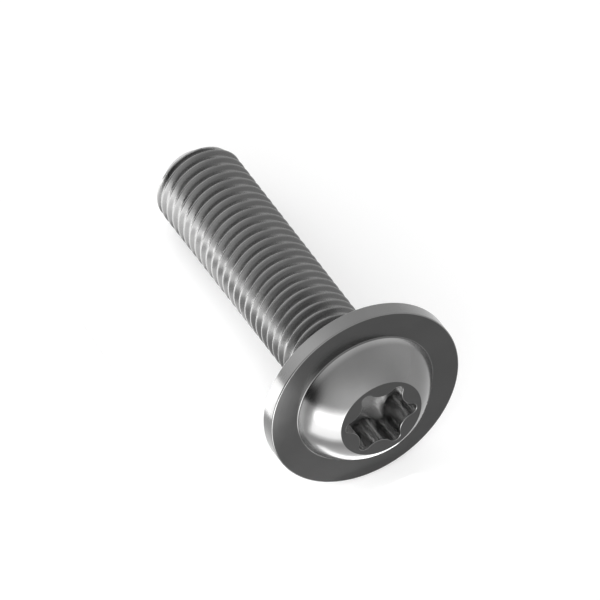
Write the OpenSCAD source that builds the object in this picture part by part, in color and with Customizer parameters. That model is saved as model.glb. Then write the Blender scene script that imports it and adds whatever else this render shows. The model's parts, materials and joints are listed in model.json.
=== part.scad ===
// Flanged button-head screw with a six-lobe socket, a right-hand thread along
// the whole shank and a flat chamfered end. It lies at rest, on the edge of its
// flange and on the last full turn of its thread. Sizes are in millimetres.

/* [Shank] */
// Length from the bearing face to the end
shank_l = 30; // [12:0.5:44]
// Outside diameter of the thread
thread_d = 7.9; // [6.5:0.1:9]
// Distance from one turn of the thread to the next
pitch = 1; // [0.7:0.05:1.25]
// Plain neck between the bearing face and the thread
neck_l = 1.2; // [0.8:0.1:4]
// Length over which the thread rises out of the neck
run_in_l = 1.5; // [0.5:0.1:4]
// Round in the corner between the neck and the bearing face
neck_fillet_r = 0.4; // [0.1:0.05:0.5]
// Diameter of the flat end face
end_d = 5; // [3:0.1:5.5]
// Angle between the end chamfer and the axis
chamfer_angle = 45; // [30:1:60]

/* [Head] */
// Diameter of the flange
flange_d = 17.8; // [16:0.1:24]
// Thickness of the flange at its rim
flange_t = 1.5; // [0.8:0.1:3]
// Round on the two edges of the flange rim
flange_edge_r = 0.1; // [0.05:0.05:0.3]
// Height of the whole head above the bearing face
head_h = 4.4; // [3.9:0.1:6]
// Radius of the dome
dome_r = 7.12; // [6.6:0.02:7.6]
// Diameter of the flat top of the dome
top_d = 7.66; // [7.2:0.02:8.6]
// Round in the corner between the dome and the flange
dome_fillet_r = 0.3; // [0.1:0.05:0.5]

/* [Socket] */
// Width across two opposite lobes
socket_a = 6.75; // [6:0.05:6.9]
// Width across two opposite waists
socket_b = 4.85; // [4.6:0.05:5]
// Radius of each lobe
lobe_r = 0.55; // [0.5:0.01:0.6]
// Depth of the straight wall
socket_depth = 2.9; // [1:0.1:3.2]
// Angle between the sloping bottom and the straight wall
socket_bottom_angle = 80; // [70:1:85]
// Turn of the socket about the axis, as the screw lies
socket_turn = 38.3; // [0:0.1:60]

/* [Smoothness] */
// Flat facets in one turn of the thread
thread_steps = 36; // [24:1:44]

/* [Hidden] */
$fn = 96;

// Basic thread form: crest, flank, root and flank as shares of the pitch
crest_share = 1 / 8;
root_share = 1 / 4;
// Angle between a flank and a plane square to the axis
flank_angle = 30;
flank_share = (1 - crest_share - root_share) / 2;
thread_depth = flank_share * pitch / tan(flank_angle);
crest_r = thread_d / 2;
root_r = crest_r - thread_depth;
// A rolled thread rises as far above the neck as it sinks below it
neck_r = (crest_r + root_r) / 2;
// The threaded core stays this far inside the neck, so that the neck covers its start
core_clearance = 0.03;
core_r = neck_r - core_clearance;
end_r = end_d / 2;
chamfer_l = (crest_r - end_r) / tan(chamfer_angle);

// Places along the axis, from the bearing face at 0 towards the end
flange_top = -flange_t;
head_top = -head_h;
full_thread_end = shank_l - chamfer_l;
full_turns = floor((full_thread_end - neck_l) / pitch) + 1;
first_turn = full_thread_end - (full_turns + crest_share) * pitch;
// Pitches from each end of the helix to the flat ring that closes it
start_ring_gap = 0.25;
end_ring_gap = 1.5;
core_start = first_turn - start_ring_gap * pitch;

// Start of the crest, its end, the start of the root and its end, in one pitch,
// each with its height: 1 at the crest and 0 at the root
thread_form = [
    [0, 1],
    [crest_share, 1],
    [crest_share + flank_share, 0],
    [1 - flank_share, 0]
];
form_points = len(thread_form);
// The helix runs on past the end, where the chamfer and the end face cut it off
helix_turns = ceil((shank_l - first_turn) / pitch);
levels = helix_turns * form_points;
core_end = first_turn + (helix_turns + end_ring_gap) * pitch;
// How far the chamfer's cut starts outside the thread
cutter_reach = 1;

// Dome: the sphere's centre lies on the axis and its flat top has the stated width
dome_centre = head_top + sqrt(pow(dome_r, 2) - pow(top_d / 2, 2));
dome_drop = dome_centre - flange_top;
dome_foot_r = sqrt(pow(dome_r, 2) - pow(dome_drop, 2));
dome_fillet_x = sqrt(pow(dome_r + dome_fillet_r, 2) - pow(dome_drop + dome_fillet_r, 2));
dome_fillet_z = flange_top - dome_fillet_r;

// Socket: each waist is an arc that runs smoothly into the lobes beside it
lobes = 6;
lobe_step = 360 / lobes;
lobe_at = socket_a / 2 - lobe_r;
waist_half = socket_b / 2;
waist_gain = pow(lobe_at, 2) + pow(waist_half, 2) - pow(lobe_r, 2)
    - 2 * lobe_at * waist_half * cos(lobe_step / 2);
waist_r = waist_gain / (2 * lobe_at * cos(lobe_step / 2) + 2 * lobe_r - 2 * waist_half);
waist_at = waist_half + waist_r;
// How far the socket's cutter starts above the head
socket_top_gap = 0.5;
bottom_cone_h = socket_a / 2 / tan(socket_bottom_angle);

// Rest: the screw is turned by one and a half facets about its axis, so that a flat
// of its thread is lowest. It lies on a line that touches the flange rim's round and
// the end of that flat's last crest, which the chamfer doesn't reach.
half_facet = 180 / thread_steps;
rest_turn = 3 * half_facet;
crest_flat_r = crest_r * cos(half_facet);
rest_z = full_thread_end - pitch / thread_steps;
rest_run = rest_z + flange_edge_r;
rest_rise = flange_d / 2 - flange_edge_r - crest_flat_r;
rest_reach = norm([rest_run, rest_rise]);
lean = atan(rest_rise / rest_run) + asin(flange_edge_r / rest_reach);
rest_height = crest_flat_r * cos(lean) + rest_z * sin(lean);

// The box of the lying screw, from the head's top edge to the end's upper edge
head_x = min(
    head_top * cos(lean) - top_d / 2 * sin(lean),
    flange_top * cos(lean) - flange_d / 2 * sin(lean)
);
end_x = shank_l * cos(lean) + end_r * sin(lean);
centre_x = (head_x + end_x) / 2;

// Distance of the form's point at level m above the start, on facet line i
function form_z(i, m) =
    first_turn + pitch * (i / thread_steps + floor(m / form_points)
    + thread_form[m % form_points][0]);

// Radius there: the full form's, or less where it still rises out of the neck
function form_r(i, m) =
    let (rise = max(0, min(1, (form_z(i, m) - neck_l) / run_in_l)))
    let (full_r = root_r + thread_depth * thread_form[m % form_points][1])
    core_r + rise * (full_r - core_r);

function round_point(i, r, z) =
    [r * cos(360 * i / thread_steps), r * sin(360 * i / thread_steps), z];

// The facet line at angle 0 has one more turn of levels than the others,
// because the helix comes back to it one pitch further on
function line_levels(i) = i == 0 ? levels + form_points : levels;
function line_start(i) = i == 0 ? 0 : levels + form_points + (i - 1) * levels;
function point_at(i, m) =
    i == thread_steps ? line_start(0) + m + form_points : line_start(i) + m;

form_total = thread_steps * levels + form_points;
start_ring = form_total;
end_ring = form_total + thread_steps;
function start_at(i) = start_ring + i % thread_steps;
function end_at(i) = end_ring + i % thread_steps;

core_points = concat(
    [for (i = [0:thread_steps - 1]) for (m = [0:line_levels(i) - 1])
        round_point(i, form_r(i, m), form_z(i, m))],
    [for (i = [0:thread_steps - 1]) round_point(i, core_r, core_start)],
    [for (i = [0:thread_steps - 1]) round_point(i, root_r, core_end)]
);

// Two triangles for each patch of the helix
helix_faces = [for (i = [0:thread_steps - 1]) for (m = [0:levels - 2]) each [
    [point_at(i, m), point_at(i, m + 1), point_at(i + 1, m + 1)],
    [point_at(i, m), point_at(i + 1, m + 1), point_at(i + 1, m)]
]];

// Bands that lead from the helix's two ragged edges to the flat rings
start_band = [for (i = [0:thread_steps - 1]) each [
    [start_at(i), point_at(i, 0), point_at(i + 1, 0)],
    if (i < thread_steps - 1) [start_at(i), point_at(i + 1, 0), start_at(i + 1)]
]];
start_fan = concat(
    [for (m = [0:form_points - 1])
        [start_at(thread_steps - 1), point_at(0, m + 1), point_at(0, m)]],
    [[start_at(thread_steps - 1), point_at(0, 0), start_at(0)]]
);
end_band = [for (i = [0:thread_steps - 1]) each [
    if (i > 0) [point_at(i, levels - 1), end_at(i), point_at(i + 1, levels - 1)],
    [point_at(i + 1, levels - 1), end_at(i), end_at(i + 1)]
]];
end_fan = concat(
    [for (m = [levels - 1:levels + form_points - 2])
        [point_at(0, m), point_at(0, m + 1), point_at(1, levels - 1)]],
    [[point_at(0, levels + form_points - 1), end_at(0), point_at(1, levels - 1)]]
);
caps = [
    [for (i = [0:thread_steps - 1]) start_at(i)],
    [for (i = [thread_steps - 1:-1:0]) end_at(i)]
];

module helix() {
    polyhedron(
        points = core_points,
        faces = concat(helix_faces, start_band, start_fan, end_band, end_fan, caps)
    );
}

// Half section of what is left of the bar after it is faced and chamfered
module bar_section() {
    cutter_r = crest_r + cutter_reach;
    cutter_z = full_thread_end - cutter_reach / tan(chamfer_angle);
    polygon([
        [0, core_start - pitch],
        [cutter_r, core_start - pitch],
        [cutter_r, cutter_z],
        [end_r, shank_l],
        [0, shank_l]
    ]);
}

module threaded_core() {
    intersection() {
        helix();
        rotate_extrude()
            bar_section();
    }
}

// Half section of the flange, with its rim's edges rounded
module flange_section() {
    straight_r = flange_d / 2 - flange_edge_r;
    translate([0, flange_top])
        square([straight_r, flange_t]);
    translate([0, flange_top + flange_edge_r])
        square([flange_d / 2, flange_t - 2 * flange_edge_r]);
    for (z = [flange_top + flange_edge_r, -flange_edge_r])
        translate([straight_r, z])
            circle(r = flange_edge_r);
}

// Half section of the dome, with the round at its foot
module dome_section() {
    touch_share = dome_r / (dome_r + dome_fillet_r);
    intersection() {
        translate([0, dome_centre])
            circle(r = dome_r);
        translate([0, head_top])
            square([dome_r, head_h - flange_t]);
    }
    difference() {
        polygon([
            [dome_foot_r, flange_top],
            [dome_fillet_x * touch_share, dome_centre
                + (dome_fillet_z - dome_centre) * touch_share],
            [dome_fillet_x, dome_fillet_z],
            [dome_fillet_x, flange_top]
        ]);
        translate([dome_fillet_x, dome_fillet_z])
            circle(r = dome_fillet_r);
    }
}

// Half section of the neck, with the round under the head
module neck_section() {
    square([neck_r, neck_l]);
    difference() {
        square([neck_r + neck_fillet_r, neck_fillet_r]);
        translate([neck_r + neck_fillet_r, neck_fillet_r])
            circle(r = neck_fillet_r);
    }
}

module socket_outline() {
    lobe_turn = acos((pow(lobe_at, 2) + pow(lobe_r + waist_r, 2) - pow(waist_at, 2))
        / (2 * lobe_at * (lobe_r + waist_r)));
    touch_x = lobe_at - lobe_r * cos(lobe_turn);
    touch_y = lobe_r * sin(lobe_turn);
    difference() {
        union() {
            polygon([for (k = [0:lobes - 1]) let (turn = lobe_step * k) each [
                [touch_x * cos(turn) + touch_y * sin(turn),
                    touch_x * sin(turn) - touch_y * cos(turn)],
                [touch_x * cos(turn) - touch_y * sin(turn),
                    touch_x * sin(turn) + touch_y * cos(turn)]
            ]]);
            for (k = [0:lobes - 1])
                rotate(lobe_step * k)
                    translate([lobe_at, 0])
                        circle(r = lobe_r);
        }
        for (k = [0:lobes - 1])
            rotate(lobe_step * (k + 1 / 2))
                translate([waist_at, 0])
                    circle(r = waist_r);
    }
}

// The recess: a straight six-lobe wall over a shallow cone
module socket() {
    translate([0, 0, head_top - socket_top_gap])
        linear_extrude(socket_depth + socket_top_gap)
            socket_outline();
    intersection() {
        translate([0, 0, head_top])
            linear_extrude(socket_depth + bottom_cone_h)
                socket_outline();
        translate([0, 0, head_top + socket_depth])
            cylinder(h = bottom_cone_h, r1 = socket_a / 2, r2 = 0);
    }
}

module head_and_neck() {
    difference() {
        rotate_extrude() {
            flange_section();
            dome_section();
            neck_section();
        }
        rotate(socket_turn - rest_turn)
            socket();
    }
}

module screw() {
    color([0.5, 0.5, 0.5])
        translate([-centre_x, 0, rest_height])
            rotate([0, 90 + lean, 0])
                rotate(rest_turn) {
                    head_and_neck();
                    threaded_core();
                }
}

screw();
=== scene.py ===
"""The looks of a flanged button-head screw that lies on a pale floor.

Lengths are in millimetres until they go to Blender, which takes metres. The screw's
own axes have z along its shank: the bearing face is at 0, the shank's end at 30 and
the head's flat top at -4.4. Its own x axis points down at the floor.
"""
import json

import bpy
import numpy as np
from mathutils import Matrix, Vector


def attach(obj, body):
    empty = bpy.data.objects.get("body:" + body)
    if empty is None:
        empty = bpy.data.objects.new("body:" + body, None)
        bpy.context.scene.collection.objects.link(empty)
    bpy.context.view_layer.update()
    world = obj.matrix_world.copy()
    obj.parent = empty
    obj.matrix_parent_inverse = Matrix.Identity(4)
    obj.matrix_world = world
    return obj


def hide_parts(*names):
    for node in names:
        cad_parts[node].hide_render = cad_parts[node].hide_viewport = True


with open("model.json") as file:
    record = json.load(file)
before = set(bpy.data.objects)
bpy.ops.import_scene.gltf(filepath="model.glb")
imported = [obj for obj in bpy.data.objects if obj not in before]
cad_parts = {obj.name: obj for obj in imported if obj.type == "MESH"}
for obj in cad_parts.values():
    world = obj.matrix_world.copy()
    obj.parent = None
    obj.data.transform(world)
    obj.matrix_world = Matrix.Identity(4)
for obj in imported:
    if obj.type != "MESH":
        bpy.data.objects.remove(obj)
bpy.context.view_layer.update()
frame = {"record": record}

MM = 0.001

# The shank
SHANK_L = 30.0
THREAD_R = 3.95
PITCH = 1.0
NECK_L = 1.2
RUN_IN_L = 1.5
NECK_FILLET_R = 0.4
END_R = 2.5
CHAMFER_SLOPE = 1.0
FULL_THREAD_END = SHANK_L - (THREAD_R - END_R) / CHAMFER_SLOPE

# The head
FLANGE_R = 8.9
FLANGE_TOP = -1.5
FLANGE_EDGE_R = 0.1
HEAD_TOP = -4.4
DOME_R = 7.12
TOP_R = 3.83
TOP_EDGE_R = 0.06
DOME_FILLET_R = 0.12
DOME_CENTRE = HEAD_TOP + np.sqrt(DOME_R ** 2 - TOP_R ** 2)

# The socket
SOCKET_A = 6.75
SOCKET_B = 4.85
LOBE_R = 0.55
SOCKET_DEPTH = 2.9
BOTTOM_SLOPE = 1 / np.tan(np.radians(80))
SOCKET_TURN = 38.3
MOUTH_R = 0.05

# The thread's form: a 60 degree vee with a round crest and a round root
VEE_H = PITCH * np.sqrt(3) / 2
CREST_ARC_R = VEE_H / 8
ROOT_ARC_R = VEE_H / 6
FORM_DEPTH = VEE_H * 17 / 24
ARC_REACH = np.sin(np.radians(60))
CREST_REACH = CREST_ARC_R * ARC_REACH
ROOT_REACH = ROOT_ARC_R * ARC_REACH
FLANK_SLOPE = np.tan(np.radians(60))

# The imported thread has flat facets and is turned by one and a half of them. The round
# one has the radius of their middles, so that both touch the floor at the same height
HALF_FACET = 5.0
REST_TURN = 3 * HALF_FACET
CREST_R = THREAD_R * np.cos(np.radians(HALF_FACET))
PACKED_DEPTH = PITCH * 5 / 16 * FLANK_SLOPE
NECK_R = THREAD_R - PACKED_DEPTH / 2
CREST_START = FULL_THREAD_END - PITCH / 16 - PITCH * REST_TURN / 360

# The surface follows the helix from a ring by the neck to a ring before the chamfer, and
# then level rings, a step apart. Where the thread's radius and the chamfer's differ by
# less than the blend, one runs into the other
HELIX_START = NECK_L + 0.05
HELIX_END = FULL_THREAD_END - 0.1
END_STEP = 0.04
CHAMFER_BLEND = 0.1

# The floor reaches this far each way, and glows this much besides what it gives back
FLOOR_REACH = 1000.0
FLOOR_GLOW = 0.15

# Columns of points round the axis, and how close to a line's end its next point is
HEAD_COLUMNS = 432
THREAD_COLUMNS = 144
SUPPORT = 0.02

# Where two faces meet at more than this angle, in degrees, the shading has an edge
SHARP_ANGLE = 38

# Tone of the steel by place, as the share of light that it gives back, and its roughness.
# Only HEAD_TONE is the steel's own tone; the others paint light and shade into the colour.
# Painted shade: FLAT_TONE on the flat top and the flange's face, FILLET_TONE on the round
# under the dome, BOTTOM_TONE on the socket's bottom and FLANK_TONE on the thread's flanks.
# Painted light: BEARING_TONE on the bearing face, FOOT_TONE on the dome's foot, WALL_TONE
# on the socket's wall, ROOT_TONE in the thread's roots, a painted highlight of CREST_TONE
# on its crests, and END_TONE on the chamfered end
HEAD_TONE, FLAT_TONE, BEARING_TONE = 0.2, 0.066, 0.42
FOOT_TONE, FILLET_TONE = 0.34, 0.12
WALL_TONE, BOTTOM_TONE = 0.5, 0.145
CREST_TONE, FLANK_TONE, ROOT_TONE, END_TONE = 0.18, 0.118, 0.38, 0.36
HEAD_ROUGH, FLAT_ROUGH, THREAD_ROUGH, RECESS_ROUGH = 0.19, 0.2, 0.27, 0.2
# Where one zone of the steel fades into the next. First by height along the axis: the
# dome's foot, the round under it, the shank, the chamfer, and the socket's mouth, its
# bottom and what lies behind it
FOOT_ZONE = (FLANGE_TOP - 0.7, FLANGE_TOP - 0.15)
FILLET_ZONE = (FLANGE_TOP - 0.14, FLANGE_TOP - 0.08)
SHANK_ZONE = (0.6, 1.6)
END_ZONE = (FULL_THREAD_END - 0.05, FULL_THREAD_END + 0.25)
MOUTH_ZONE = (HEAD_TOP + 0.02, HEAD_TOP + 0.1)
BOTTOM_ZONE = (HEAD_TOP + SOCKET_DEPTH - 0.9, HEAD_TOP + SOCKET_DEPTH + 0.1)
BACK_ZONE = (-0.6, -0.1)
# Then by radius: the rim, the socket, the thread's flanks and its crests, which carry a painted
# highlight
RIM_ZONE = (FLANGE_R - 0.4, FLANGE_R - 0.2)
SOCKET_ZONE = (SOCKET_A / 2, SOCKET_A / 2 + 0.1)
FLANK_ZONE = (CREST_R - FORM_DEPTH, CREST_R - FORM_DEPTH / 2)
CREST_ZONE = (CREST_R - 0.12, CREST_R)
# And by how squarely a face looks along the axis, 1 being straight
FLAT_ZONE = (0.96, 0.995)
# Lumps in a metre of the cloudy tone, the patchy roughness and the two kinds of tool mark
CLOUD_SCALE, PATCH_SCALE, RING_SCALE, STREAK_SCALE = 350, 900, 9000, 2500
# Height of the rings and of the streaks
RING_HEIGHT, STREAK_HEIGHT = 0.0006, 0.004


def screw_pose():
    """Where the screw lies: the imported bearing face's centre and the axis towards the end."""
    mounts = {m["name"]: m for m in frame["record"]["mounts"]}
    face = mounts["bearing_face"]
    axis = Vector(face["axis"]).normalized()
    centre = Vector(face["pos_m"]) / MM
    return Vector((centre.x, 0, centre.z)), axis


def laid_down(points):
    """The points turned from the screw's own axes into the shared frame, in millimetres.

    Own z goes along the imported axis, own y stays level and own x points down.
    """
    centre, axis = screw_pose()
    down = np.array((axis.z, 0.0, -axis.x))
    level = np.array((0.0, 1.0, 0.0))
    x, y, z = points.T
    return (np.array(centre) + x[:, None] * down + y[:, None] * level
            + z[:, None] * np.array(axis))


def arc(centre_r, centre_z, radius, first, last, count):
    """Points of a circle: r = centre_r + radius * cos(a), z = centre_z + radius * sin(a)."""
    a = np.radians(np.linspace(first, last, count))
    return np.stack((centre_r + radius * np.cos(a), centre_z + radius * np.sin(a)), 1)


def straight(start, stop, between=0):
    """Points of a line, with one close to each end so that the shading stays flat."""
    start, stop = np.array(start, float), np.array(stop, float)
    share = SUPPORT / np.linalg.norm(stop - start)
    steps = np.concatenate(((share,), np.linspace(0, 1, between + 2)[1:-1], (1 - share,)))
    return start + steps[:, None] * (stop - start)


def head_profile():
    """Radius and height along the head, from the flat top's edge to the neck's end.

    Each curve is a circle's arc that runs smoothly into its neighbours: the edge of
    the flat top, the dome, the dome's foot, the rim's two edges and the neck's corner.
    """
    edge_drop = DOME_CENTRE - HEAD_TOP - TOP_EDGE_R
    edge_r = np.sqrt((DOME_R - TOP_EDGE_R) ** 2 - edge_drop ** 2)
    edge_turn = np.degrees(np.arctan2(-edge_drop, edge_r))
    foot_z = FLANGE_TOP - DOME_FILLET_R
    foot_r = np.sqrt((DOME_R + DOME_FILLET_R) ** 2 - (DOME_CENTRE - foot_z) ** 2)
    foot_turn = np.degrees(np.arctan2(foot_z - DOME_CENTRE, foot_r))
    rim_r = FLANGE_R - FLANGE_EDGE_R
    corner_r = NECK_R + NECK_FILLET_R
    return np.concatenate((
        arc(edge_r, HEAD_TOP + TOP_EDGE_R, TOP_EDGE_R, -90, edge_turn, 4),
        arc(0, DOME_CENTRE, DOME_R, edge_turn, foot_turn, 26)[1:],
        arc(foot_r, foot_z, DOME_FILLET_R, foot_turn + 180, 90, 8)[1:],
        straight((foot_r, FLANGE_TOP), (rim_r, FLANGE_TOP), 3),
        arc(rim_r, FLANGE_TOP + FLANGE_EDGE_R, FLANGE_EDGE_R, -90, 0, 6),
        straight((FLANGE_R, FLANGE_TOP + FLANGE_EDGE_R), (FLANGE_R, -FLANGE_EDGE_R), 1),
        arc(rim_r, -FLANGE_EDGE_R, FLANGE_EDGE_R, 0, 90, 6),
        straight((rim_r, 0), (corner_r, 0), 3),
        arc(corner_r, NECK_FILLET_R, NECK_FILLET_R, -90, -180, 8),
        straight((NECK_R, NECK_FILLET_R), (NECK_R, NECK_L), 1),
    )), edge_r


def socket_outline(angle):
    """Radius of the six-lobe outline at each angle, in degrees from a lobe's middle.

    Near a lobe's middle it is the far side of the lobe's circle, and near a waist's
    middle the near side of the waist's circle, which runs smoothly into two lobes.
    """
    lobe_at = SOCKET_A / 2 - LOBE_R
    half_b = SOCKET_B / 2
    cos_30 = np.cos(np.radians(30))
    waist_r = ((lobe_at ** 2 + half_b ** 2 - LOBE_R ** 2 - 2 * lobe_at * half_b * cos_30)
               / (2 * lobe_at * cos_30 + 2 * LOBE_R - 2 * half_b))
    waist_at = half_b + waist_r
    reach = waist_r + LOBE_R
    touch = (lobe_at * np.array((1.0, 0.0))
             + (waist_at * np.array((cos_30, 0.5)) - lobe_at * np.array((1.0, 0.0)))
             * LOBE_R / reach)
    from_lobe = np.abs((angle + 30) % 60 - 30)
    from_waist = 30 - from_lobe
    on_lobe = np.radians(np.minimum(from_lobe, np.degrees(np.arctan2(touch[1], touch[0]))))
    on_waist = np.radians(from_waist)
    lobe = lobe_at * np.cos(on_lobe) + np.sqrt(LOBE_R ** 2 - (lobe_at * np.sin(on_lobe)) ** 2)
    inside = np.maximum(waist_r ** 2 - (waist_at * np.sin(on_waist)) ** 2, 0)
    waist = waist_at * np.cos(on_waist) - np.sqrt(inside)
    return np.where(from_lobe <= np.degrees(np.arctan2(touch[1], touch[0])), lobe, waist)


def head_grid():
    """Radius and height of every point of the head, a row for each step along it.

    The rows lead from the socket's bottom up its wall, over its mouth and across the
    flat top, where they change from the six-lobe outline to a circle.
    """
    angle = np.arange(HEAD_COLUMNS) * 360 / HEAD_COLUMNS
    outline = socket_outline(angle - SOCKET_TURN)[None, :]
    profile, top_r = head_profile()
    cone_share = np.array((0.02, 0.25, 0.5, 0.75, 1.0))[:, None]
    cone_r = cone_share * outline
    cone_z = HEAD_TOP + SOCKET_DEPTH + (SOCKET_A / 2 - cone_r) * BOTTOM_SLOPE
    wall_share = np.array((0.01, 0.35, 0.7, 0.99))[:, None]
    wall_z = cone_z[-1:] + wall_share * (HEAD_TOP + MOUTH_R - cone_z[-1:])
    mouth = np.radians(np.linspace(0, 90, 4))[:, None]
    mouth_r = outline + MOUTH_R * (1 - np.cos(mouth))
    mouth_z = HEAD_TOP + MOUTH_R * (1 - np.sin(mouth)) + 0 * outline
    top_share = np.array((0.02, 0.35, 0.7, 0.98))[:, None]
    flat_r = mouth_r[-1:] + top_share * (top_r - mouth_r[-1:])
    r = np.concatenate((cone_r, outline + 0 * wall_share, mouth_r, flat_r,
                        profile[:, :1] + 0 * outline))
    z = np.concatenate((cone_z, wall_z, mouth_z, HEAD_TOP + 0 * flat_r,
                        profile[:, 1:] + 0 * outline))
    return r, z, np.radians(angle)


def thread_radius(z, turns):
    """Radius of the thread at a height and at an angle given in turns.

    Its depth below the crest is a circle's arc on the crest, a straight flank, and a
    circle's arc in the root. It fades into the neck over the run-in.
    """
    from_crest = np.abs(((z - CREST_START) / PITCH - turns + 0.5) % 1 - 0.5) * PITCH
    from_root = PITCH / 2 - from_crest
    on_crest = CREST_ARC_R - np.sqrt(np.maximum(CREST_ARC_R ** 2 - from_crest ** 2, 0))
    on_flank = CREST_ARC_R / 2 + (from_crest - CREST_REACH) * FLANK_SLOPE
    on_root = FORM_DEPTH - ROOT_ARC_R + np.sqrt(np.maximum(ROOT_ARC_R ** 2 - from_root ** 2, 0))
    depth = np.where(from_crest < CREST_REACH, on_crest,
                     np.where(from_root < ROOT_REACH, on_root, on_flank))
    rise = np.clip((z - NECK_L) / RUN_IN_L, 0, 1)
    rise = rise * rise * (3 - 2 * rise)
    return NECK_R + rise * (CREST_R - depth - NECK_R)


def end_radius(z, turns):
    """Radius of the chamfered thread: the lesser of thread and cone, blended where they meet."""
    thread = thread_radius(z, turns)
    cone = CREST_R - (z - FULL_THREAD_END) * CHAMFER_SLOPE
    share = np.clip(0.5 + (cone - thread) / (2 * CHAMFER_BLEND), 0, 1)
    return cone + share * (thread - cone) - CHAMFER_BLEND * share * (1 - share)


def grid_faces(index):
    """Two triangles for each patch of a grid of point numbers, without the empty ones."""
    a, b, c, d = index[:-1, :-1], index[:-1, 1:], index[1:, 1:], index[1:, :-1]
    faces = np.concatenate((np.stack((a, b, c), -1).reshape(-1, 3),
                            np.stack((a, c, d), -1).reshape(-1, 3)))
    first, second, third = faces.T
    return faces[(first != second) & (second != third) & (third != first)]


def closed(index):
    """The grid of point numbers with its first column repeated after its last."""
    return np.concatenate((index, index[:, :1]), 1)


def round_points(r, z, angle):
    """Points at a radius, a height and an angle."""
    return np.stack((r * np.cos(angle), r * np.sin(angle), z + 0 * r), -1).reshape(-1, 3)


def thread_sleeve(low_z, high_z):
    """Points and faces of the thread between two level rings.

    A row follows one line of the helix: z = start + pitch * (turn + its phase), and the
    last column is the first one a turn further on. Rows past a ring end on that ring.
    """
    crest = np.sin(np.radians(np.linspace(-60, 60, 7))) * CREST_ARC_R / PITCH
    root = 0.5 + np.sin(np.radians(np.linspace(-60, 60, 5))) * ROOT_ARC_R / PITCH
    phases = np.concatenate((crest, root))
    rows = len(phases)
    start = CREST_START - PITCH * np.ceil((CREST_START - low_z) / PITCH + 2)
    turns = int(np.ceil((high_z - start) / PITCH)) + 2
    level = np.arange(turns * rows)[:, None]
    column = np.arange(THREAD_COLUMNS + 1)[None, :]
    z = start + PITCH * (level // rows + phases[level % rows] + column / THREAD_COLUMNS)
    height = level + rows * (column == THREAD_COLUMNS) + 1
    height = np.where(z <= low_z, 0, np.where(z >= high_z, (turns + 2) * rows, height))
    key = height * THREAD_COLUMNS + column % THREAD_COLUMNS
    keys, first, index = np.unique(key, return_index=True, return_inverse=True)
    turn = keys % THREAD_COLUMNS / THREAD_COLUMNS
    z = np.clip(z, low_z, high_z).reshape(-1)[first]
    points = round_points(end_radius(z, turn), z, 2 * np.pi * turn)
    return points, grid_faces(index.reshape(key.shape))


def screw_mesh():
    """All points and faces of the screw, as one closed surface in the shared frame."""
    r, z, angle = head_grid()
    head = round_points(r, z, angle)
    sleeve, sleeve_faces = thread_sleeve(HELIX_START, HELIX_END)
    turn = np.arange(THREAD_COLUMNS) / THREAD_COLUMNS
    last_z = SHANK_L - END_STEP
    end_z = np.append(np.arange(HELIX_END + END_STEP, last_z, END_STEP), last_z)[:, None]
    end = round_points(end_radius(end_z, turn[None, :]), end_z, 2 * np.pi * turn)
    tip_r = np.array((END_R + 0.01, END_R - 0.03, END_R - 0.06, END_R / 2, 0.04))
    tip_z = np.array((SHANK_L - 0.01, SHANK_L, SHANK_L, SHANK_L, SHANK_L))[:, None]
    tip = round_points(tip_r[:, None] + 0 * turn, tip_z, 2 * np.pi * turn)
    bottom_z = HEAD_TOP + SOCKET_DEPTH + SOCKET_A / 2 * BOTTOM_SLOPE
    poles = np.array(((0, 0, bottom_z), (0, 0, SHANK_L)))
    parts = (head, sleeve, end, tip, poles)
    starts = np.concatenate(((0,), np.cumsum([len(p) for p in parts])))

    head_index = np.arange(len(head)).reshape(-1, HEAD_COLUMNS)
    low_ring = starts[1] + np.arange(THREAD_COLUMNS)
    high_ring = starts[2] - THREAD_COLUMNS + np.arange(THREAD_COLUMNS)
    end_index = starts[2] + np.arange(len(end) + len(tip)).reshape(-1, THREAD_COLUMNS)
    end_index = np.concatenate((high_ring[None, :], end_index))
    first, last = closed(head_index[:1])[0], closed(end_index[-1:])[0]
    ring = closed(head_index[-1:])[0]
    ring_0, ring_1, ring_2, ring_3 = ring[:-1:3], ring[1::3], ring[2::3], ring[3::3]
    low_0, low_1 = low_ring, np.roll(low_ring, -1)
    faces = np.concatenate((
        grid_faces(closed(head_index)),
        sleeve_faces + starts[1],
        grid_faces(closed(end_index)),
        np.stack((0 * first[1:] + starts[4], first[1:], first[:-1]), 1),
        np.stack((last[:-1], last[1:], 0 * last[1:] + starts[4] + 1), 1),
        np.stack((ring_0, ring_1, low_0), 1),
        np.stack((ring_1, low_1, low_0), 1),
        np.stack((ring_1, ring_2, low_1), 1),
        np.stack((ring_2, ring_3, low_1), 1),
    ))
    return laid_down(np.concatenate(parts)), faces


def new_mesh(name, points, faces, material):
    """A mesh object from arrays of points, in millimetres, and triangles."""
    mesh = bpy.data.meshes.new(name)
    mesh.vertices.add(len(points))
    mesh.vertices.foreach_set("co", (points * MM).astype(np.float32).ravel())
    mesh.loops.add(faces.size)
    mesh.loops.foreach_set("vertex_index", faces.astype(np.int32).ravel())
    mesh.polygons.add(len(faces))
    mesh.polygons.foreach_set("loop_start", np.arange(0, faces.size, 3, dtype=np.int32))
    mesh.update(calc_edges=True)
    mesh.validate()
    mesh.polygons.foreach_set("use_smooth", np.ones(len(faces), bool))
    mesh.set_sharp_from_angle(angle=np.radians(SHARP_ANGLE))
    mesh.materials.append(material)
    made = bpy.data.objects.new(name, mesh)
    bpy.context.scene.collection.objects.link(made)
    return made


def screw_axes_node(nodes, links):
    """A Mapping node that turns Object coordinates into the screw's own axes, in metres."""
    centre, axis = screw_pose()
    down = Vector((axis.z, 0, -axis.x))
    own = Matrix((down, (0, 1, 0), axis)).transposed()
    place = nodes.new("ShaderNodeTexCoord")
    turned = nodes.new("ShaderNodeMapping")
    turned.vector_type = "TEXTURE"
    turned.inputs["Location"].default_value = centre * MM
    turned.inputs["Rotation"].default_value = own.to_euler()
    links.new(place.outputs["Object"], turned.inputs["Vector"])
    return turned


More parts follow.
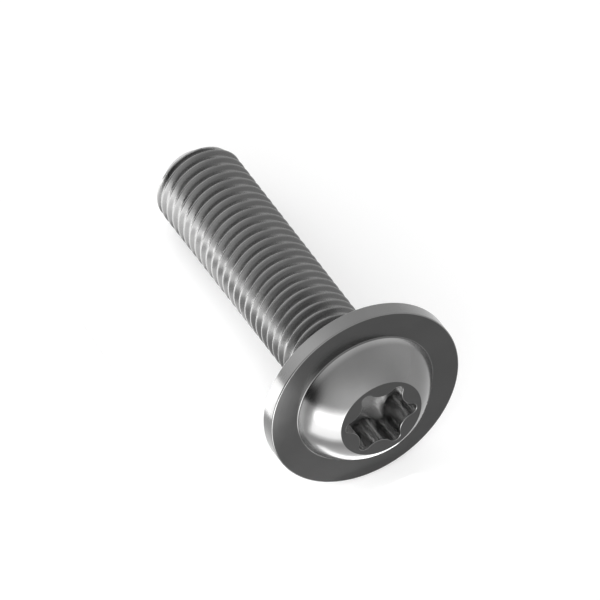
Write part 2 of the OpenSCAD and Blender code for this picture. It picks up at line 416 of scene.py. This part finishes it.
def step_node(nodes, links, value, low, high, to_low=0.0, to_high=1.0):
    """A soft step: to_low where the value is below low, to_high where it is above high."""
    step = nodes.new("ShaderNodeMapRange")
    step.interpolation_type = "SMOOTHSTEP"
    step.inputs["From Min"].default_value = low
    step.inputs["From Max"].default_value = high
    step.inputs["To Min"].default_value = to_low
    step.inputs["To Max"].default_value = to_high
    links.new(value, step.inputs["Value"])
    return step.outputs["Result"]


def math_node(nodes, links, operation, first, second):
    """One operation on two values, each a number or another node's output."""
    made = nodes.new("ShaderNodeMath")
    made.operation = operation
    for socket, value in zip(made.inputs, (first, second)):
        if isinstance(value, (int, float)):
            socket.default_value = value
        else:
            links.new(value, socket)
    return made.outputs["Value"]


def noise_node(nodes, links, vector, scale, detail, low, high):
    """Noise from low to high that has about scale lumps in a metre of its vector."""
    noise = nodes.new("ShaderNodeTexNoise")
    noise.inputs["Scale"].default_value = scale
    noise.inputs["Detail"].default_value = detail
    links.new(vector, noise.inputs["Vector"])
    return step_node(nodes, links, noise.outputs[0], 0.3, 0.7, low, high)


def mix_node(nodes, links, share, first, second):
    """The first value where the share is 0 and the second where it is 1."""
    made = nodes.new("ShaderNodeMix")
    for socket, value in zip(made.inputs[:1] + made.inputs[2:4], (share, first, second)):
        if isinstance(value, (int, float)):
            socket.default_value = value
        else:
            links.new(value, socket)
    return made.outputs["Result"]


def steel_material():
    """Smooth steel, told apart by place: the dome, the flat faces, the socket and the thread.

    The zones come from the height z along the axis, the radius out from it, and how far
    the surface faces along it. Most tones paint light and shade: the dome is painted
    brighter towards its foot and the socket darker at its bottom, and the thread has
    painted light in its roots, painted shade on its flanks and a painted highlight on
    its crests.
    """
    material = bpy.data.materials.new("smooth_steel")
    material.use_nodes = True
    nodes, links = material.node_tree.nodes, material.node_tree.links
    shader = nodes["Principled BSDF"]
    shader.inputs["Metallic"].default_value = 1
    own = screw_axes_node(nodes, links)
    parts = nodes.new("ShaderNodeSeparateXYZ")
    links.new(own.outputs["Vector"], parts.inputs["Vector"])
    z = parts.outputs["Z"]
    level = nodes.new("ShaderNodeCombineXYZ")
    for name in "XY":
        links.new(parts.outputs[name], level.inputs[name])
    length = nodes.new("ShaderNodeVectorMath")
    length.operation = "LENGTH"
    links.new(level.outputs["Vector"], length.inputs[0])
    out = length.outputs["Value"]
    along = nodes.new("ShaderNodeVectorMath")
    along.operation = "DOT_PRODUCT"
    along.inputs[1].default_value = screw_pose()[1]
    place = nodes.new("ShaderNodeTexCoord")
    links.new(place.outputs["Normal"], along.inputs[0])
    facing = along.outputs["Value"]

    def zone(value, steps, to_low=0.0, to_high=1.0):
        """A soft step of a length, between two lengths in millimetres."""
        return step_node(nodes, links, value, steps[0] * MM, steps[1] * MM, to_low, to_high)

    front = step_node(nodes, links, facing, -FLAT_ZONE[1], -FLAT_ZONE[0], 1.0, 0.0)
    back = step_node(nodes, links, facing, *FLAT_ZONE)
    shank = zone(z, SHANK_ZONE)
    end = zone(z, END_ZONE)
    rise = zone(out, FLANK_ZONE)
    crest_highlight = zone(out, CREST_ZONE)
    foot = zone(z, FOOT_ZONE)
    fillet = zone(z, FILLET_ZONE)
    rim = zone(out, RIM_ZONE)
    inside = zone(out, SOCKET_ZONE, 1.0, 0.0)
    below = zone(z, MOUTH_ZONE)
    above = zone(z, BACK_ZONE, 1.0, 0.0)
    recess = math_node(nodes, links, "MULTIPLY", inside,
                       math_node(nodes, links, "MULTIPLY", below, above))
    # Painted light on the socket's wall, against the shade it mirrors, and painted shade at its
    # bottom
    deep = zone(z, BOTTOM_ZONE, WALL_TONE, BOTTOM_TONE)

    # Painted light on the dome towards its foot, and painted shade on the round under it
    tone = mix_node(nodes, links, foot, HEAD_TONE, FOOT_TONE)
    tone = mix_node(nodes, links, fillet, tone, FILLET_TONE)
    tone = mix_node(nodes, links, rim, tone, HEAD_TONE)
    # Painted shade on the flat top and the flange's face, so that they mirror the floor darker,
    # and painted light on the bearing face, which the thread mirrors
    tone = mix_node(nodes, links, front, tone, FLAT_TONE)
    tone = mix_node(nodes, links, back, tone, BEARING_TONE)
    tone = mix_node(nodes, links, recess, tone, deep)
    # Painted light in the thread's roots, painted shade on its flanks, a painted highlight on
    # its crests and painted light on the chamfered end
    thread = mix_node(nodes, links, rise, ROOT_TONE, FLANK_TONE)
    thread = mix_node(nodes, links, crest_highlight, thread, CREST_TONE)
    thread = mix_node(nodes, links, end, thread, END_TONE)
    tone = mix_node(nodes, links, shank, tone, thread)
    cloudy = noise_node(nodes, links, own.outputs["Vector"], CLOUD_SCALE, 3, 0.96, 1.04)
    tone = math_node(nodes, links, "MULTIPLY", tone, cloudy)
    colour = nodes.new("ShaderNodeCombineColor")
    for channel, share in (("Red", 1.0), ("Green", 0.998), ("Blue", 0.995)):
        links.new(math_node(nodes, links, "MULTIPLY", tone, share), colour.inputs[channel])
    links.new(colour.outputs["Color"], shader.inputs["Base Color"])

    rough = mix_node(nodes, links, math_node(nodes, links, "MAXIMUM", front, back),
                     HEAD_ROUGH, FLAT_ROUGH)
    rough = mix_node(nodes, links, recess, rough, RECESS_ROUGH)
    rough = mix_node(nodes, links, shank, rough, THREAD_ROUGH)
    patchy = noise_node(nodes, links, own.outputs["Vector"], PATCH_SCALE, 4, 0.93, 1.07)
    links.new(math_node(nodes, links, "MULTIPLY", rough, patchy), shader.inputs["Roughness"])

    # Tool marks: rings round the axis, and lines along the socket's wall
    angle = math_node(nodes, links, "ARCTAN2", parts.outputs["Y"], parts.outputs["X"])
    ring = nodes.new("ShaderNodeCombineXYZ")
    links.new(out, ring.inputs["X"])
    links.new(z, ring.inputs["Z"])
    streak = nodes.new("ShaderNodeCombineXYZ")
    links.new(math_node(nodes, links, "MULTIPLY", angle, 3 * MM), streak.inputs["X"])
    rings = noise_node(nodes, links, ring.outputs["Vector"], RING_SCALE, 1, 0.0, 1.0)
    streaks = noise_node(nodes, links, streak.outputs["Vector"], STREAK_SCALE, 2, 0.0, 1.0)
    marks = mix_node(nodes, links, recess, rings, streaks)
    height = mix_node(nodes, links, recess, RING_HEIGHT, STREAK_HEIGHT)
    bump = nodes.new("ShaderNodeBump")
    bump.inputs["Strength"].default_value = 1
    bump.inputs["Distance"].default_value = MM
    links.new(math_node(nodes, links, "MULTIPLY", marks, height), bump.inputs["Height"])
    links.new(bump.outputs["Normal"], shader.inputs["Normal"])
    return material


def floor_material():
    """White paper that also glows faintly where it is looked at, straight or in the steel."""
    material = bpy.data.materials.new("white_paper")
    material.use_nodes = True
    nodes, links = material.node_tree.nodes, material.node_tree.links
    shader = nodes["Principled BSDF"]
    shader.inputs["Base Color"].default_value = (0.9, 0.9, 0.9, 1)
    shader.inputs["Roughness"].default_value = 1
    shader.inputs["Specular IOR Level"].default_value = 0
    shader.inputs["Emission Color"].default_value = (1, 1, 1, 1)
    ray = nodes.new("ShaderNodeLightPath")
    mirrored = math_node(nodes, links, "MAXIMUM",
                         ray.outputs["Is Glossy Ray"], ray.outputs["Is Transmission Ray"])
    seen = math_node(nodes, links, "MAXIMUM", ray.outputs["Is Camera Ray"], mirrored)
    glow = math_node(nodes, links, "MULTIPLY", seen, FLOOR_GLOW)
    links.new(glow, shader.inputs["Emission Strength"])
    return material


screw = new_mesh("screw_body", *screw_mesh(), steel_material())
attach(screw, "root")
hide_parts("screw")


def floor():
    """A flat square sheet under the screw."""
    points = np.array(((-1, -1, 0), (1, -1, 0), (1, 1, 0), (-1, 1, 0))) * FLOOR_REACH
    return new_mesh("floor", points, np.array(((0, 1, 2), (0, 2, 3))), floor_material())


floor()


def towards(azimuth, elevation):
    """The direction at an azimuth from +X towards +Y and an elevation, in degrees."""
    a, e = np.radians(azimuth), np.radians(elevation)
    return Vector((np.cos(a) * np.cos(e), np.sin(a) * np.cos(e), np.sin(e)))


def placed(name, data, right, up, position):
    """A new object at a position, in millimetres, whose own x goes right and own y up."""
    made = bpy.data.objects.new(name, data)
    bpy.context.scene.collection.objects.link(made)
    made.location = position * MM
    made.rotation_mode = "QUATERNION"
    turned = Matrix((right, up, right.cross(up))).transposed()
    made.rotation_quaternion = turned.to_quaternion()
    return made


def softbox(name, corner, along, up, radiance):
    """An even rectangular light, in millimetres: it spans two edges that start at a corner.

    It shines towards the side from which the edge along it is seen to lead left.
    """
    along, up = Vector(along), Vector(up)
    light = bpy.data.lights.new(name, "AREA")
    light.shape = "RECTANGLE"
    light.size, light.size_y = along.length * MM, up.length * MM
    light.energy = radiance * np.pi * light.size * light.size_y
    middle = Vector(corner) + (along + up) / 2
    made = placed(name, light, along.normalized(), up.normalized(), middle)
    made.visible_camera = False


def panel(name, foot, heading, width, height, slant, radiance):
    """A softbox with a level lower edge, whose middle is the foot.

    It lies out from the screw at a heading and faces back. The slant is how far its top
    leans away, in degrees from upright, so that at 90 it lies flat and shines up.
    """
    out = towards(heading, 0)
    along = Vector((0, 0, 1)).cross(out) * width
    up = out * np.sin(np.radians(slant)) + Vector((0, 0, np.cos(np.radians(slant))))
    softbox(name, Vector(foot) - along / 2, along, up * height, radiance)


# The lights stand close round the screw, each where one bright place of the steel mirrors
# it, and the camera doesn't see them
panel("head_light", (-21.9, 6.9, 3.4), 134, 14.6, 9.0, 25, 2.2)
panel("head_glow", (-22.1, 6.7, 1.8), 134, 17, 12.4, 25, 1.2)
panel("rim_light", (-5.5, 14.6, 4.7), 95, 5.2, 8.6, 8, 4.1)
panel("foot_light", (-17.0, 2.6, 0.1), 0, 10.8, 2.4, 35, 2.7)
panel("flank_light", (-36, 23, 0), 149, 34, 8, 0, 4.2)
panel("side_light", (14, 5.5, 0.15), 90, 36, 8.5, 90, 2.0)
shank_way = screw_pose()[1]
shank_up = Vector((-shank_way.z, 0, shank_way.x))
softbox("shank_light", (39, 14, -9), -43 * shank_way, 11 * shank_up, 3.6)

# Brightness of the studio round the horizon, every 15 degrees of azimuth from -180 to
# 180, and straight up, and what both are multiplied by. The colour ramp holds the ring's
# values divided by their span
RING = (2.35, 1.9, 1.55, 1.45, 1.6, 1.75, 1.85, 1.6, 1.45, 1.55, 1.6, 1.65,
        2.05, 2.5, 2.75, 2.45, 1.3, 0.3, 0.4, 0.9, 1.65, 2.2, 2.5, 2.6, 2.35)
ZENITH = 1.4
STUDIO_LEVEL = 0.65
RING_SPAN = 4.0
# A dark gap stands low at one side. Its two edges, in degrees of azimuth, and its top, as
# the height that a direction of length 1 reaches, all fade
GAP_START = (60, 80)
GAP_END = (104, 122)
GAP_TOP = (0.2, 0.7)
# Between these two heights the ring gives way to the zenith
ZENITH_FADE = (0.35, 0.98)


def studio():
    """The studio round the screw: even overhead, brighter and darker round the horizon."""
    world = bpy.data.worlds.new("studio")
    world.use_nodes = True
    nodes, links = world.node_tree.nodes, world.node_tree.links
    place = nodes.new("ShaderNodeTexCoord")
    parts = nodes.new("ShaderNodeSeparateXYZ")
    links.new(place.outputs["Generated"], parts.inputs["Vector"])
    x, y, z = (parts.outputs[name] for name in "XYZ")
    turn = math_node(nodes, links, "ARCTAN2", y, x)
    circles = math_node(nodes, links, "DIVIDE", turn, 2 * np.pi)
    ramp = nodes.new("ShaderNodeValToRGB")
    ramp.color_ramp.interpolation = "B_SPLINE"
    stops = ramp.color_ramp.elements
    for place_on in np.linspace(0, 1, len(RING))[1:-1]:
        stops.new(place_on)
    for stop, brightness in zip(stops, RING):
        stop.color = (brightness / RING_SPAN,) * 3 + (1,)
    links.new(math_node(nodes, links, "ADD", circles, 0.5), ramp.inputs["Fac"])
    ring = math_node(nodes, links, "MULTIPLY", ramp.outputs["Color"], RING_SPAN)

    after_start = step_node(nodes, links, turn, *np.radians(GAP_START))
    before_end = step_node(nodes, links, turn, *np.radians(GAP_END), 1.0, 0.0)
    below_top = step_node(nodes, links, z, *GAP_TOP, 1.0, 0.0)
    gap = math_node(nodes, links, "MULTIPLY",
                    math_node(nodes, links, "MULTIPLY", after_start, before_end), below_top)
    ring = math_node(nodes, links, "MULTIPLY", ring,
                     math_node(nodes, links, "SUBTRACT", 1.0, gap))
    high_up = step_node(nodes, links, z, *ZENITH_FADE)
    to_zenith = math_node(nodes, links, "SUBTRACT", ZENITH, ring)
    level = math_node(nodes, links, "ADD", ring,
                      math_node(nodes, links, "MULTIPLY", high_up, to_zenith))
    light = math_node(nodes, links, "MULTIPLY", level, STUDIO_LEVEL)
    links.new(light, nodes["Background"].inputs["Strength"])
    nodes["Background"].inputs["Color"].default_value = (1, 1, 1, 1)
    bpy.context.scene.world = world


studio()
bpy.context.scene.view_settings.view_transform = "Standard"

# The camera looks straight along its own axis, with no perspective, as in the photograph
VIEW_HEADING = -28.335
VIEW_ELEVATION = 53.84
VIEW_DISTANCE = 300
PICTURE_SIDE = 50.42
PICTURE_CENTRE = (-5.545, 1.669, 13.854)


def camera():
    """The camera: it sits back from the picture's centre and looks down at it."""
    data = bpy.data.cameras.new("camera")
    data.type = "ORTHO"
    data.ortho_scale = PICTURE_SIDE * MM
    data.clip_start, data.clip_end = 0.01, 10
    back = towards(VIEW_HEADING + 180, VIEW_ELEVATION)
    right = Vector((0, 0, 1)).cross(back).normalized()
    position = Vector(PICTURE_CENTRE) + back * VIEW_DISTANCE
    bpy.context.scene.camera = placed("camera", data, right, back.cross(right), position)


camera()
